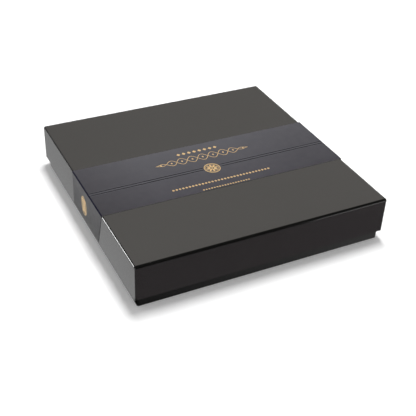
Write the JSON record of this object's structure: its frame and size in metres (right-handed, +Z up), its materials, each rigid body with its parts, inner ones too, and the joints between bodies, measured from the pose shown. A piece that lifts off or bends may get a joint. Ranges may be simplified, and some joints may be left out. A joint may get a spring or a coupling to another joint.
{
  "type": "chocolate box",
  "caption": "Square two-piece chocolate box: lift-off lid with a printed card band, tray, dividers, pleated cups, dipped chocolates and a cushion pad.",
  "frame": {"origin": "centre of the underside, on the surface that the box stands on", "axes": "+X to the right along the front edge, +Y to the back, +Z up, out of the lid"},
  "size_m": [0.1804, 0.18, 0.0327],
  "materials": {
    "greyboard": "matt",
    "black_paper": "satin laminate",
    "kraft_tape": "matt",
    "ivory_paper": "matt",
    "band_card": "satin with gold foil",
    "pad_paper": "matt, quilted",
    "divider_card": "matt",
    "cup_paper": "semi-gloss glassine",
    "chocolate": "satin"
  },
  "bodies": {
    "base": {"base_board": "greyboard", "base_wrap": "black_paper", "base_bottom_sheet": "black_paper", "base_corner_stays": "kraft_tape", "base_liner": "ivory_paper", "divider_long_1": "divider_card", "divider_long_2": "divider_card", "divider_long_3": "divider_card", "divider_cross_1": "divider_card", "divider_cross_2": "divider_card", "divider_cross_3": "divider_card", "candy_cup_01": "cup_paper", "candy_cup_02": "cup_paper", "candy_cup_03": "cup_paper", "candy_cup_04": "cup_paper", "candy_cup_05": "cup_paper", "candy_cup_06": "cup_paper", "candy_cup_07": "cup_paper", "candy_cup_08": "cup_paper", "candy_cup_09": "cup_paper", "candy_cup_10": "cup_paper", "candy_cup_11": "cup_paper", "candy_cup_12": "cup_paper", "candy_cup_13": "cup_paper", "candy_cup_14": "cup_paper", "candy_cup_15": "cup_paper", "candy_cup_16": "cup_paper", "chocolate_01": "chocolate", "chocolate_02": "chocolate", "chocolate_03": "chocolate", "chocolate_04": "chocolate", "chocolate_05": "chocolate", "chocolate_06": "chocolate", "chocolate_07": "chocolate", "chocolate_08": "chocolate", "chocolate_09": "chocolate", "chocolate_10": "chocolate", "chocolate_11": "chocolate", "chocolate_12": "chocolate", "chocolate_13": "chocolate", "chocolate_14": "chocolate", "chocolate_15": "chocolate", "chocolate_16": "chocolate"},
    "lid": {"lid_board": "greyboard", "lid_wrap": "black_paper", "lid_corner_stays": "kraft_tape", "lid_liner": "ivory_paper", "belly_band": "band_card"},
    "pad": {"cushion_pad": "pad_paper"}
  },
  "joints": [
    {"name": "lid_lift", "type": "slide", "parent": "base", "child": "lid", "axis": [0, 0, 1], "range_m": [0, 0.12]},
    {"name": "pad_lift", "type": "slide", "parent": "base", "child": "pad", "axis": [0, 0, 1], "range_m": [0, 0.06]}
  ],
  "couplings": [
    {"joint": "pad_lift", "follows": "lid_lift", "ratio": 0.5}
  ]
}
